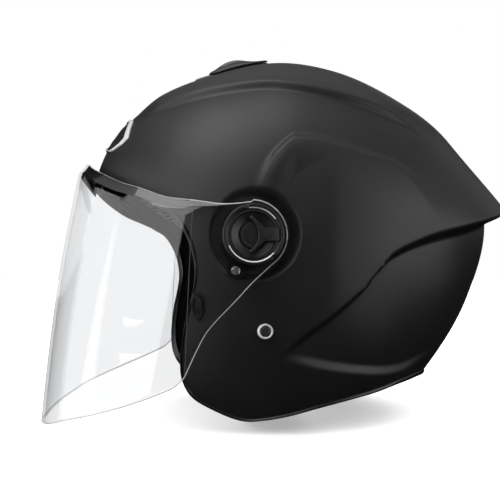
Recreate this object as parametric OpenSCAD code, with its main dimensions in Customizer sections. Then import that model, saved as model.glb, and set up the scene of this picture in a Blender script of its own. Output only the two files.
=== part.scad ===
// Open face motorcycle helmet with a long clear visor.
// Front is -Y, up is +Z and the wearer's left is +X.
// The origin is on the ground, below the middle of the whole helmet.

/* [Shell] */
// Width of the shell over the ears
shell_width = 236; // [228:2:240]
// Roundness of the shell's sections, 2 is elliptical and more is squarer
shell_power = 2.3; // [2.1:0.1:2.6]
// Wall thickness of the shell
shell_wall = 4.5; // [3.5:0.5:5]
// Height of the side panel over the shell around it
panel_raise = 3; // [1:0.5:4]
// How far the rear spoiler stands out behind the shell
spoiler_raise = 19; // [8:1:20]
// Depth of the pocket below the spoiler line
pocket_depth = 2.5; // [1:0.5:3]

/* [Liner] */
// Thickness of the foam liner at the crown
foam_thick = 25; // [20:1:28]
// Thickness of the comfort padding at the crown
comfort_thick = 8; // [5:1:10]
// Thickness of a cheek pad
cheek_thick = 30; // [24:1:34]

/* [Visor] */
// Thickness of the clear visor
visor_thick = 2; // [1.6:0.1:2.4]
// Half of the width over the visor's two ears
visor_half = 121; // [121:0.5:122]

/* [Pivot] */
// Radius of the round cap that covers the pivot
cap_r = 17.4; // [16:0.2:18]
// Radius of the visor's ear around the pivot
ear_r = 20; // [19:0.5:21]
// Radius of the hub that the visor turns on
hub_r = 12; // [10:0.5:12]
// Radial clearance of the visor on its hub
hub_fit = 0.1; // [0.05:0.01:0.1]

/* [Strap] */
// Width of the chin strap webbing
strap_width = 20; // [18:1:22]
// Thickness of the webbing
strap_thick = 1.6; // [1.2:0.1:1.8]

/* [Hidden] */

// The middle of the head, that all the shell's surfaces are measured from
centre = [0, -10, 140];
// Radius of the shell's middle section around that centre, every 22.5 degrees from the rear over the top
profile = [156.5, 139.5, 120.5, 111, 107, 105, 112, 121.5, 125, 130, 142, 162, 176, 170, 157.5, 155.5];
profile_step = 360 / len(profile);
// The direction that the shell's mesh spreads out from, up and to the rear
crown_dir = [0, cos(55), sin(55)];

// Pivot of the visor, [Y, Z], and the flat seats of the pivot on the shell
pivot = [-37, 121];
seat_x = 110.5;
seat_r = 23;
seat_slope = 1.4;
ridge_raise = 4;

// Shell's lower lip, from the middle of the brow past the cheek to the middle of the neck
lip = [
    [0, -137, 160.5], [30, -135, 160], [57, -127, 157.5], [80, -112, 150.5], [97, -92, 138.5],
    [104, -80, 131], [106, -71, 116], [105, -68, 100], [102, -70, 86], [97, -73, 73],
    [92, -75, 60], [86, -76, 48], [80, -75, 34], [77, -69, 23], [79, -57, 15], [82, -39, 8],
    [87, -25, 8], [90, -12, 11], [92, 6, 16], [90, 26, 21], [84, 48, 26], [76, 66, 29],
    [60, 84, 31], [35, 95, 31], [0, 101, 31],
];
cheek_corner = 12;
trim_depth = 3;

// Lines of the shell's relief on the side, each a list of [Y, Z]
wing_line = [[-24, 44], [-9, 58], [10, 73], [29, 89], [42, 104], [52, 112], [78, 122], [115, 132], [160, 146]];
crease_line = [[-60, 135], [-35, 160], [-15, 179], [-8, 181], [5, 180], [24, 175], [44, 170], [72, 165], [150, 150]];
ridge_line = [[-110, 192], [-92, 200], [-62, 208], [-32, 212], [-12, 211], [20, 205], [50, 197], [90, 180]];
ledge_line = [[-30, 52], [-10, 50], [12, 45], [38, 41], [56, 40], [72, 43], [110, 60]];

// Foam liner's edge, from the middle of the brow to the middle of the neck
foam_edge = [
    [0, -133, 167.5], [28, -131, 167], [56, -124, 164.5], [79, -108, 158], [95, -86, 146.5],
    [106, -66, 134], [110, -58, 112], [113, -35, 102], [116, -5, 98], [114, 18, 86],
    [108, 38, 72], [96, 58, 64], [76, 78, 62], [48, 94, 62], [0, 108, 62],
];
// Crown pad's edge
crown_edge = [
    [0, -104, 216], [28, -102, 212], [52, -94, 204], [72, -80, 190], [90, -62, 174],
    [104, -40, 156], [112, -14, 144], [114, 12, 132], [110, 36, 112], [100, 62, 92],
    [80, 88, 78], [44, 108, 72], [0, 118, 70],
];
// Outline of a cheek pad
cheek_edge = [
    [104, -58, 92], [108, -38, 88], [110, -14, 84], [109, 2, 74], [103, 6, 56], [95, 2, 40],
    [90, -12, 30], [86, -32, 26], [84, -54, 32], [88, -66, 44], [94, -68, 60], [101, -64, 78],
];

// Strap: pivot through both rivets, [Y, Z], and the webbing's path from there to the middle
rivet = [-28, 66];
strap_path = [[98.7, 73], [98.7, 66], [98.4, 60], [95.5, 50], [90.5, 40], [83.5, 30], [75, 22], [68, 17.5], [62, 16]];
strap_low = 16;
buckle_from = 24;
buckle_to = 60;

// How far each ring of the shell's mesh is from the crown to the lip, closer together at the spoiler
shell_rings = [0.08, 0.17, 0.26, 0.35, 0.43, 0.5, 0.535, 0.57, 0.62, 0.7, 0.78, 0.86, 0.93, 1];

// ---------- curves ----------

function catmull(a, b, c, d, t) =
    0.5 * (2 * b + (c - a) * t + (2 * a - 5 * b + 4 * c - d) * t * t + (3 * b - a - 3 * c + d) * t * t * t);

function clamp01(v) = max(0, min(1, v));

function ease(low, high, v) = let (t = clamp01((v - low) / (high - low))) t * t * (3 - 2 * t);

// Smooth curve through points, with some steps between each two
function smooth_path(points, steps) = let (last = len(points) - 1) [
    for (k = [0 : last - 1], s = [0 : steps - 1])
        catmull(points[max(k - 1, 0)], points[k], points[k + 1], points[min(k + 2, last)], s / steps),
    points[last],
];

// Smooth closed curve through points
function smooth_loop(points, steps) = let (n = len(points)) [
    for (k = [0 : n - 1], s = [0 : steps - 1])
        catmull(points[(k + n - 1) % n], points[k], points[(k + 1) % n], points[(k + 2) % n], s / steps),
];

// Height of a line of [Y, Z] points at a place along Y
function line_z(line, y, k = 0) =
    k >= len(line) - 2 || y <= line[k + 1].x
        ? line[k].y + (line[k + 1].y - line[k].y) * (y - line[k].x) / (line[k + 1].x - line[k].x)
        : line_z(line, y, k + 1);

function mirrored(p) = [-p.x, p.y, p.z];

// Whole symmetric edge, from its left half: brow, left side, neck, right side
function both_sides(half) = concat(half, [for (k = [len(half) - 2 : -1 : 1]) mirrored(half[k])]);

// ---------- shell surfaces ----------

function unit(v) = v / norm(v);

function direction(p) = unit(p - centre);

function profile_radius(angle) =
    let (n = len(profile), s = (angle + 360) % 360 / profile_step, k = floor(s))
        catmull(profile[(k + n - 1) % n], profile[k % n], profile[(k + 1) % n], profile[(k + 2) % n], s - k);

// Distance from the centre to the surface that lies depth below the shell's outside
function surface_radius(d, depth) =
    let (
        flat = norm([d.y, d.z]),
        section = profile_radius(atan2(d.z, d.y)) - depth,
        half = shell_width / 2 - depth
    )
        pow(pow(flat / section, shell_power) + pow(abs(d.x) / half, shell_power), -1 / shell_power);

// The flat seat of the pivot limits how far a surface may stand out sideways
function seated(p, depth) =
    let (limit = seat_x - depth + seat_slope * max(0, norm([p.y, p.z] - pivot) - seat_r))
        [sign(p.x) * min(abs(p.x), limit), p.y, p.z];

function layer_point(d, depth) = seated(centre + d * surface_radius(d, depth), depth);

// Raised and sunken parts of the shell's outside, in mm
function relief(p) =
    let (
        over_wing = 0.85 * (p.z - line_z(wing_line, p.y)),
        under_crease = line_z(crease_line, p.y) - p.z,
        crease_soft = 5 + 36 * max(ease(-22, -50, p.y), ease(45, 90, p.y)),
        over_ridge = p.z - line_z(ridge_line, p.y),
        over_ledge = p.z - line_z(ledge_line, p.y),
        tip = ease(70, 150, p.y),
        front_start = max(ease(-18, 14, p.y), ease(-38, -16, p.y) * ease(30, 8, under_crease)),
        side = front_start * ease(140, 80, p.y) * ease(40, 70, abs(p.x)),
        wing_soft = 1.5 + 2.5 * ease(20, 90, p.y),
        wing_edge = ease(-wing_soft, wing_soft, over_wing),
        panel = side * wing_edge * ease(0, crease_soft, under_crease),
        spoiler = tip * wing_edge * pow(1 - clamp01(over_wing / 55), 2.2),
        pocket = ease(-24, 4, p.y) * ease(100, 60, p.y) * ease(2, -2, over_wing) * ease(-4, 1, over_ledge),
        ridge = ease(-104, -84, p.y) * ease(80, 44, p.y) * ease(-1.8, 1.8, over_ridge) * ease(30, -4, over_ridge)
    )
        panel_raise * panel + spoiler_raise * spoiler - pocket_depth * pocket + ridge_raise * ridge;

function outside_point(d) = let (p = layer_point(d, 0)) p + d * relief(p);

// Direction moved along the shell towards the crown
function pulled(d, distance) = unit(d + crown_dir * distance / 150);

// ---------- meshes ----------

function quad(a, b, c, d) = [[a, c, b], [a, d, c]];

// Sheet with two faces, each a grid of rows of points
module slab(front, back) {
    rows = len(front);
    cols = len(front[0]);
    n = rows * cols;
    points = [for (grid = [front, back], row = grid) each row];
    faces = [
        for (i = [0 : rows - 2], j = [0 : cols - 2], a = [i * cols + j])
            each concat(quad(a, a + 1, a + cols + 1, a + cols), quad(n + a, n + a + cols, n + a + cols + 1, n + a + 1)),
        for (j = [0 : cols - 2], a = [j], b = [(rows - 1) * cols + j])
            each concat(quad(a, n + a, n + a + 1, a + 1), quad(b, b + 1, n + b + 1, n + b)),
        for (i = [0 : rows - 2], a = [i * cols], b = [i * cols + cols - 1])
            each concat(quad(a, a + cols, n + a + cols, n + a), quad(b, n + b, n + b + cols, b + cols)),
    ];
    polyhedron(points, faces, convexity = 8);
}

// Domed sheet with two faces, each a middle point and rings of points around it
module dome(middles, front, back) {
    rings = len(front);
    n = len(front[0]);
    half = 1 + rings * n;
    points = [middles[0], for (ring = front) each ring, middles[1], for (ring = back) each ring];
    rim = 1 + (rings - 1) * n;
    faces = [
        for (k = [0 : n - 1], a = [1 + k], b = [1 + (k + 1) % n])
            each [[0, b, a], [half, half + a, half + b]],
        for (i = [0 : rings - 2], k = [0 : n - 1], a = [1 + i * n + k], b = [1 + i * n + (k + 1) % n])
            each concat(quad(a, a + n, b + n, b), quad(half + a, half + b, half + b + n, half + a + n)),
        for (k = [0 : n - 1], a = [rim + k], b = [rim + (k + 1) % n])
            each quad(a, half + a, half + b, b),
    ];
    polyhedron(points, faces, convexity = 8);
}

// Slerp keeps the rings evenly spread where the edge is far round the head
function turned(middle, d, share) =
    let (angle = acos(max(-1, min(1, middle * d)))) (middle * sin((1 - share) * angle) + d * sin(share * angle)) / sin(angle);

function dome_rings(edge_dirs, middle, shares) = [for (share = shares) [for (d = edge_dirs) turned(middle, d, share)]];

function even_shares(n) = [for (i = [1 : n]) i / n];

// Layer of the helmet between two depths, inside an edge
module layer(edge_dirs, middle, rings, outer_depth, inner_depth) {
    dirs = dome_rings(edge_dirs, middle, even_shares(rings));
    dome(
        [layer_point(middle, outer_depth), layer_point(middle, inner_depth)],
        [for (ring = dirs) [for (d = ring) layer_point(d, outer_depth)]],
        [for (ring = dirs) [for (d = ring) layer_point(d, inner_depth)]]
    );
}

lip_dirs = [for (p = both_sides(smooth_path(lip, 2))) direction(p)];

// ---------- shell and trims ----------

module outer_shell() {
    edge = [for (d = lip_dirs) pulled(d, trim_depth + 0.2)];
    dirs = dome_rings(edge, crown_dir, shell_rings);
    color("#1c1d1f")
        dome(
            [outside_point(crown_dir), layer_point(crown_dir, shell_wall)],
            [for (ring = dirs) [for (d = ring) outside_point(d)]],
            [for (ring = dirs) [for (d = ring) layer_point(d, shell_wall)]]
        );
}

// Rubber edge along part of the lip, given by the numbers of its first and last points
module edge_trim(first, last) {
    n = len(lip_dirs);
    dirs = [for (k = [first : last]) lip_dirs[(k + n) % n]];
    color("#0c0c0d")
        slab(
            [for (d = dirs) [layer_point(pulled(d, trim_depth), -0.6), layer_point(d, -0.6)]],
            [for (d = dirs) [layer_point(pulled(d, trim_depth), shell_wall + 0.6), layer_point(d, shell_wall + 0.6)]]
        );
}

module face_edge_trim() edge_trim(-2 * cheek_corner, 2 * cheek_corner);

module neck_edge_trim() edge_trim(2 * cheek_corner, len(lip_dirs) - 2 * cheek_corner);

// ---------- liner ----------

foam_top = shell_wall + 1.6;
foam_base = foam_top + foam_thick;
comfort_top = foam_base + 1;
comfort_base = comfort_top + comfort_thick;

module foam_liner() {
    color("#3c3d40")
        layer([for (p = both_sides(smooth_path(foam_edge, 2))) direction(p)], crown_dir, 9, foam_top, foam_base);
}

module crown_pad() {
    color("#2b2c2e")
        layer([for (p = both_sides(smooth_path(crown_edge, 2))) direction(p)], crown_dir, 6, comfort_top, comfort_base);
}

// Band of padding along the brow, below the crown pad
module brow_pad() {
    low = smooth_path([for (k = [0 : 5]) foam_edge[k]], 2);
    high = smooth_path([for (k = [0 : 5]) crown_edge[k]], 2);
    n = len(low) - 1;
    rows = [for (k = [n : -1 : -n]) let (m = abs(k), s = k < 0 ? -1 : 1)
        [for (share = [0.06, 0.34, 0.62, 0.9]) let (p = low[m] * (1 - share) + high[m] * share)
            direction([s * p.x, p.y, p.z])]];
    color("#37383a")
        slab(
            [for (row = rows) [for (d = row) layer_point(d, comfort_top)]],
            [for (row = rows) [for (d = row) layer_point(d, comfort_base)]]
        );
}

module cheek_pad(side) {
    edge = [for (p = smooth_loop(cheek_edge, 2)) direction([side * p.x, p.y, p.z])];
    ordered = side > 0 ? [for (k = [len(edge) - 1 : -1 : 0]) edge[k]] : edge;
    color("#303133")
        layer(ordered, direction([side * 101, -32, 58]), 5, pad_depth, pad_depth + cheek_thick);
}

module cheek_pad_left() cheek_pad(1);

module cheek_pad_right() cheek_pad(-1);

module neck_roll() {
    spread = [for (a = [45 : -9 : -45]) a];
    rises = [-35, -39, -43.5];
    color("#2b2c2e")
        slab(
            [for (a = spread) [for (rise = rises) roll_point(a, rise, 6)]],
            [for (a = spread) [for (rise = rises) roll_point(a, rise, 28)]]
        );
}

// Point of the neck roll, at an angle round the back of the neck and an angle above the level
function roll_point(around, rise, depth) =
    layer_point([sin(around) * cos(rise), cos(around) * cos(rise), sin(rise)], depth);

// ---------- small pieces of the shell ----------

module each_side() for (side = [0, 1]) mirror([side, 0, 0]) children();

// Puts a piece that is drawn along +Z on the wearer's left, facing out, at [Y, Z]
module facing_out(x, place) translate([x, place.x, place.y]) rotate([0, 90, 0]) rotate(90) children();

// Puts a piece that is drawn along +Z at a depth below the shell, square to its surface
module square_to_shell(d, depth)
    translate(layer_point(d, depth)) rotate([0, acos(d.z), atan2(d.y, d.x)]) children();

pad_depth = shell_wall + 10;
snap_places = [[104, -54, 68], [104, -4, 62]];

module pad_snaps() {
    color("#b8b8ba")
        each_side()
            for (place = snap_places)
                square_to_shell(direction(place), pad_depth - 0.1)
                    cylinder(r = 4, h = pad_depth - shell_wall - 0.6, $fn = 32);
}

module visor_bumpers() {
    color("#151515")
        each_side()
            square_to_shell(direction([100, -65, 82]), -1)
                hull()
                    for (s = [-7, 7]) translate([s, 0, 0]) cylinder(r = 3.5, h = 1.6, $fn = 24);
}

// Plain shield on the forehead
module front_badge() {
    angles = [-34, -29, -25, -19, -13, -6, 0, 6, 13, 19, 25, 29, 34];
    color("#c9cacc")
        slab(
            [for (a = angles) [for (k = [0 : 3]) badge_point(a, k / 3, 0.3)]],
            [for (a = angles) [for (k = [0 : 3]) badge_point(a, k / 3, 1.6)]]
        );
}

// Lower and upper edge of the badge, as an elevation at each angle from the front
badge_low = [[0, 21.5], [13, 20.8], [25, 17.5], [34, 19.5]];
badge_high = [[0, 33], [13, 32], [25, 29.5], [29, 27.5], [34, 21.5]];

function badge_point(around, share, height) =
    let (
        low = line_z(badge_low, abs(around)),
        rise = low + share * (line_z(badge_high, abs(around)) - low)
    )
        on_shell([sin(around) * cos(rise), -cos(around) * cos(rise), sin(rise)], height);

// Point at a height above the shell's outside, relief and all
function on_shell(d, height) = outside_point(d) + d * height;

// ---------- top vent ----------

vent_half = 36;
trim_half = 34;
scoop_half = 35;
vent_front = -66;
scoop_front = -52;
vent_rear = -14;

function vent_point(x, y, height) = on_shell(direction([x, y, 236]), height);

// Sheet over the top of the shell, between two heights above it
module vent_sheet(xs, ys, low, high)
    slab(
        [for (y = ys) [for (x = xs) vent_point(x, y, high)]],
        [for (y = ys) [for (x = xs) vent_point(x, y, low)]]
    );

module vent_base() {
    color("#19191a")
        vent_sheet([-vent_half : 12 : vent_half], [vent_front, -56, -46, -36, -26, vent_rear], 0.2, 1.2);
}

module vent_trim() {
    color("#a9abad")
        vent_sheet([for (k = [-5 : 5]) trim_half * k / 5], [vent_front + 1, vent_front + 6, scoop_front - 1.5], 1.3, 2.2);
}

// Height of the scoop's roof over the shell
function scoop_roof(x, y) =
    let (rise = y < -36 ? 1.6 + 4.2 * ease(scoop_front, -36, y) : 5.8 * ease(-18, -34, y))
        3 + (1 - pow(abs(x) / scoop_half, 4)) * rise;

module vent_scoop() {
    xs = scoop_half * [-1, -0.92, -0.75, -0.4, 0, 0.4, 0.75, 0.92, 1];
    ys = [scoop_front, -49, -45, -41, -38, -36, -34, -30, -26, -22, -18, vent_rear];
    color("#161617")
        slab(
            [for (y = ys) [for (x = xs) vent_point(x, y, scoop_roof(x, y))]],
            [for (y = ys) [for (x = xs) vent_point(x, y, max(1.4, scoop_roof(x, y) - 1.5))]]
        );
}

module vent_slider() {
    color("#2a2a2c")
        vent_sheet([-7, 0, 7], [-50, -46, -42], 1.5, 2.7);
}

// ---------- visor ----------

// The visor's side view is measured as a share from the pivot, 0, to the front line, 1
upper_line = [[0, 140], [0.2, 137], [0.42, 137], [0.6, 143.5], [0.74, 149], [0.9, 159], [0.97, 165.5], [1, 168.5]];
lower_line = [
    [0, 98], [0.07, 85], [0.2, 68], [0.26, 54], [0.305, 41], [0.33, 37.5], [0.37, 34],
    [0.54, 25], [0.82, 12], [0.9, 7], [0.97, 2.5], [1, 0],
];
visor_power = 2.4;
visor_start = 0.17;
lip_rise = 5.5;
lip_inset = 3.8;

// Forward reach of the visor from the pivot in the middle, at a height
function visor_reach(z) = let (u = (172 - z) / 172) pivot.x + 141.5 + 26 * u + 3 * sin(180 * clamp01(u));

// Point of the visor at an angle from the front and a height, inset from its outside
function visor_point(angle, z, inset) =
    [
        sign(angle) * (visor_half - inset) * pow(sin(abs(angle)), 2 / visor_power),
        pivot.x - (visor_reach(z) - inset) * pow(cos(angle), 2 / visor_power),
        z,
    ];

// Rows of the visor from the end of the bent lip down to its lower edge
function visor_column(angle, inset) =
    let (
        share = pow(cos(angle), 2 / visor_power),
        top = line_z(upper_line, share),
        low = line_z(lower_line, share),
        rise = lip_rise * ease(0.05, 0.4, share),
        turn = lip_inset * ease(0.05, 0.4, share)
    )
        [
            visor_point(angle, top + rise, inset + turn),
            visor_point(angle, top + 0.2 * rise, inset + 0.35 * turn),
            for (k = [0 : 8]) visor_point(angle, top + (low - top) * (0.02 + 0.98 * k / 8), inset),
        ];

visor_end = acos(pow(visor_start, visor_power / 2));
visor_angles = [for (k = [-14 : 14]) visor_end * k / 14];

module visor() {
    color("#dfe6ea", 0.35)
        difference() {
            union() {
                slab(
                    [for (a = visor_angles) visor_column(a, 0)],
                    [for (a = visor_angles) visor_column(a, visor_thick)]
                );
                each_side() facing_out(visor_half - 2.2, pivot) visor_ear();
            }
            each_side() facing_out(visor_half - 6, pivot) cylinder(r = hub_r + hub_fit, h = 12, $fn = 64);
        }
}

// Flat side of the visor around the pivot, with its rear end round
module visor_ear() {
    linear_extrude(2.5) {
        circle(r = ear_r, $fn = 64);
        polygon([[0, 20], [-22.5, 20.5], [-22.5, -51.5], [-12, -39], [12, -16]]);
    }
}

// Toothed ring that is fixed to the visor and clicks round on the pivot base
module ratchet_rings() {
    color("#d8d8d4")
        each_side()
            facing_out(visor_half - 4.6, pivot)
                difference() {
                    cylinder(r = 16, h = 2.4, $fn = 64);
                    translate([0, 0, -1]) cylinder(r = hub_r + 0.2, h = 5, $fn = 64);
                    for (a = [0 : 12 : 348]) rotate(a) translate([14.6, 0, 0]) cube([3, 0.8, 1.2], center = true);
                }
}

// ---------- pivot ----------

base_x = seat_x + 0.2;
base_thick = 2.6;
cap_x = visor_half + 0.6;
bolt_r = 3;
screw_at = [-9, -20];
screw_x = 112.8;

module pivot_base() {
    facing_out(0, pivot)
        difference() {
            union() {
                translate([0, 0, base_x]) cylinder(r = 18.5, h = base_thick, $fn = 64);
                translate([0, 0, base_x + base_thick - 0.5]) cylinder(r = hub_r, h = cap_x - base_x - base_thick + 0.4, $fn = 64);
                translate([screw_at.x, screw_at.y, screw_x]) cylinder(r = 5, h = 2, $fn = 48);
                translate([screw_at.x - 4, -19, screw_x]) cube([8, 8, 2]);
            }
            translate([0, 0, 100]) cylinder(r = bolt_r + 0.1, h = 40, $fn = 48);
            translate([screw_at.x, screw_at.y, 100]) cylinder(r = 1.6, h = 40, $fn = 32);
            rotate(90) translate([14.2, 0, base_x + 1]) cylinder(r = 2.2, h = 5, $fn = 32);
        }
}

module pivot_base_left() color("#232426") pivot_base();

module pivot_base_right() color("#232426") mirror([1, 0, 0]) pivot_base();

module base_screws() {
    color("#d5d6d8")
        each_side()
            facing_out(screw_x, pivot + screw_at)
                difference() {
                    union() {
                        translate([0, 0, 2.05]) cylinder(r = 2.6, h = 1.4, $fn = 32);
                        translate([0, 0, -5]) cylinder(r = 1.5, h = 7.5, $fn = 32);
                    }
                    translate([0, 0, 3.4]) rotate(35) cube([6, 0.7, 1.2], center = true);
                }
}

module pivot_bolts() {
    color("#b9babc")
        each_side()
            facing_out(0, pivot) {
                translate([0, 0, 103]) cylinder(r = bolt_r, h = cap_x + 1.3 - 103, $fn = 48);
                translate([0, 0, cap_x + 1.3]) cylinder(r = 4.7, h = 1.3, $fn = 48);
            }
}

module pivot_nuts() {
    color("#9a9b9d")
        each_side()
            facing_out(102.6, pivot)
                difference() {
                    cylinder(r = 6, h = 3.2, $fn = 6);
                    translate([0, 0, -1]) cylinder(r = bolt_r + 0.05, h = 6, $fn = 48);
                }
}

module detent_springs() {
    color("#c2c3c5")
        each_side()
            facing_out(base_x + 1.05, pivot)
                rotate(90) translate([14.2, 0, 0])
                    difference() {
                        cylinder(r = 1.9, h = 1.6, $fn = 32);
                        translate([0, 0, -1]) cylinder(r = 1.3, h = 4, $fn = 32);
                    }
}

module detent_plungers() {
    color("#e3e3df")
        each_side()
            facing_out(base_x + 1.05, pivot)
                rotate(90) translate([14.2, 0, 0]) {
                    cylinder(r = 1.2, h = 4.2, $fn = 32);
                    translate([0, 0, 1.65]) cylinder(r = 1.9, h = 1, $fn = 32);
                }
}

module pivot_cap() {
    facing_out(cap_x, pivot)
        difference() {
            cylinder(r = cap_r, h = 3.6, $fn = 96);
            translate([0, 0, 1.2]) cylinder(r = 14.6, h = 4, $fn = 96);
            translate([0, 0, -1]) cylinder(r = bolt_r + 0.1, h = 6, $fn = 48);
            for (a = [60 : 60 : 300]) rotate(a) translate([cap_r, 0, 3.4]) cube([2, 3, 1.4], center = true);
        }
}

module pivot_cap_left() color("#1a1b1c") pivot_cap();

module pivot_cap_right() color("#1a1b1c") mirror([1, 0, 0]) pivot_cap();

// Three-armed lever: one wide arm to the rear and two curved arms round the front
module release_lever() {
    facing_out(cap_x + 1.5, pivot)
        difference() {
            linear_extrude(2.2)
                difference() {
                    union() {
                        circle(r = 7.4, $fn = 64);
                        translate([0, -3.6]) square([14, 7.2]);
                        for (side = [-1, 1]) rotate(side * 112) translate([0, -2.4]) square([11.5, 4.8]);
                    }
                    translate([-14.2, 0]) circle(r = 8.2, $fn = 64);
                }
            translate([0, 0, -1]) cylinder(r = 4.8, h = 2.3, $fn = 48);
        }
}

module release_lever_left() color("#0f1011") release_lever();

module release_lever_right() color("#0f1011") mirror([1, 0, 0]) release_lever();

// ---------- chin strap ----------

rivet_x = 108.6;

module strap_rivets() {
    color("#cfd0d2")
        each_side()
            facing_out(rivet_x, rivet)
                difference() {
                    union() {
                        cylinder(r = 4.6, h = 2.4, $fn = 48);
                        translate([0, 0, -10.4]) cylinder(r = 2.5, h = 10.6, $fn = 48);
                    }
                    translate([0, 0, 1.4]) cylinder(r = 3.3, h = 2, $fn = 48);
                }
}

module rivet_caps() {
    color("#1c1c1d") each_side() facing_out(rivet_x + 1.45, rivet) cylinder(r = 3.2, h = 0.8, $fn = 48);
}

module strap_anchors() {
    color("#8d8e90")
        each_side()
            facing_out(99.6, rivet)
                difference() {
                    translate([-7, -8, 0]) cube([14, 14, 1.4]);
                    translate([0, 0, -1]) cylinder(r = 2.55, h = 4, $fn = 48);
                }
}

// Band of webbing along a path of [X, Z] points
module webbing(path) {
    last = len(path) - 1;
    normals = [for (k = [0 : last]) let (run = unit(path[min(k + 1, last)] - path[max(k - 1, 0)])) [run.y, -run.x]];
    outer = [for (k = [0 : last]) path[k] + normals[k] * strap_thick / 2];
    inner = [for (k = [0 : last]) path[k] - normals[k] * strap_thick / 2];
    half = strap_width / 2;
    slab(
        [for (p = outer) [[p.x, rivet.x - half, p.y], [p.x, rivet.x + half, p.y]]],
        [for (p = inner) [[p.x, rivet.x - half, p.y], [p.x, rivet.x + half, p.y]]]
    );
}

strap_curve = smooth_path(strap_path, 3);

module chin_strap_left() {
    color("#17181a")
        difference() {
            webbing(concat(strap_curve, [[buckle_to + 0.1, strap_path[len(strap_path) - 1].y]]));
            strap_hole();
        }
}

module chin_strap_right() {
    color("#17181a")
        difference() {
            mirror([1, 0, 0]) webbing(concat(strap_curve, [[40, strap_low], [20, strap_low], [-buckle_from + 8, strap_low]]));
            mirror([1, 0, 0]) strap_hole();
        }
}

module strap_hole() facing_out(90, rivet) cylinder(r = 2.6, h = 20, $fn = 48);

module chin_pad() {
    color("#232325")
        translate([-46, rivet.x - 14, strap_low + strap_thick / 2 + 0.1])
            cube([56, 28, 5]);
}

module buckle_body() {
    color("#1d1e20")
        translate([buckle_from, rivet.x - 13, strap_low - 4.5])
            difference() {
                cube([buckle_to - buckle_from, 26, 9]);
                translate([-1, 2, 2.6]) cube([26, 22, 3.8]);
                translate([20, 4, 6.3]) cube([20, 18, 4]);
            }
}

module buckle_tongue() {
    color("#a7a8aa")
        translate([18, rivet.x - 10, strap_low + 1])
            difference() {
                cube([26, 20, 0.8]);
                translate([12, 6, -1]) cube([6, 8, 3]);
            }
}

module buckle_pin() {
    color("#b5b6b8")
        translate([buckle_to - 5, rivet.x - 12.5, strap_low + 6])
            rotate([-90, 0, 0]) cylinder(r = 1, h = 25, $fn = 32);
}

module buckle_lever() {
    color("#8c1f1b")
        difference() {
            union() {
                translate([buckle_from + 4, rivet.x - 8.6, strap_low + 4.8]) cube([26, 17.2, 2.4]);
                translate([buckle_to - 5, rivet.x - 8.6, strap_low + 6])
                    rotate([-90, 0, 0]) cylinder(r = 2.2, h = 17.2, $fn = 32);
            }
            translate([buckle_to - 5, rivet.x - 14, strap_low + 6])
                rotate([-90, 0, 0]) cylinder(r = 1.06, h = 28, $fn = 32);
        }
}

// ---------- list of the pieces ----------

// Middle of the helmet's whole length, which the origin lies below
middle_y = -3.3;

module on_ground() translate([0, -middle_y, 0]) children();

on_ground() outer_shell();
on_ground() foam_liner();
on_ground() crown_pad();
on_ground() brow_pad();
on_ground() cheek_pad_left();
on_ground() cheek_pad_right();
on_ground() neck_roll();
on_ground() face_edge_trim();
on_ground() neck_edge_trim();
on_ground() pad_snaps();
on_ground() visor_bumpers();
on_ground() front_badge();
on_ground() visor();
on_ground() ratchet_rings();
on_ground() pivot_base_left();
on_ground() pivot_base_right();
on_ground() base_screws();
on_ground() pivot_bolts();
on_ground() pivot_nuts();
on_ground() detent_springs();
on_ground() detent_plungers();
on_ground() pivot_cap_left();
on_ground() pivot_cap_right();
on_ground() release_lever_left();
on_ground() release_lever_right();
on_ground() vent_base();
on_ground() vent_trim();
on_ground() vent_scoop();
on_ground() vent_slider();
on_ground() strap_rivets();
on_ground() rivet_caps();
on_ground() strap_anchors();
on_ground() chin_strap_left();
on_ground() chin_strap_right();
on_ground() chin_pad();
on_ground() buckle_body();
on_ground() buckle_tongue();
on_ground() buckle_lever();
on_ground() buckle_pin();
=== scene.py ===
import math

import bmesh
import bpy
import numpy as np
from mathutils import Matrix, Vector


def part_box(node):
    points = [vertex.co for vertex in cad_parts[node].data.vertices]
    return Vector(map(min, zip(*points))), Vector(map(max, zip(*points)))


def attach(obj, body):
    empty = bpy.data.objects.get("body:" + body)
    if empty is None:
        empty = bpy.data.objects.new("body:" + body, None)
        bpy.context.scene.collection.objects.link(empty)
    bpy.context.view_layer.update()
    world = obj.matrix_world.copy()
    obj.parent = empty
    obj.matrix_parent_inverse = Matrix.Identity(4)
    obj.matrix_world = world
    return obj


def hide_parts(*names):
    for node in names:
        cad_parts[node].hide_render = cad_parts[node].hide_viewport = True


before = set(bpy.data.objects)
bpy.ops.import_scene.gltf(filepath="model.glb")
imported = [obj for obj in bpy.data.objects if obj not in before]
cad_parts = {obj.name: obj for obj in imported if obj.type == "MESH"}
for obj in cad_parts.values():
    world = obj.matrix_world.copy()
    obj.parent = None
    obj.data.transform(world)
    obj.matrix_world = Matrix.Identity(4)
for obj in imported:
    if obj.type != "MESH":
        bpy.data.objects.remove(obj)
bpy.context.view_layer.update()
scene = bpy.context.scene

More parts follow.
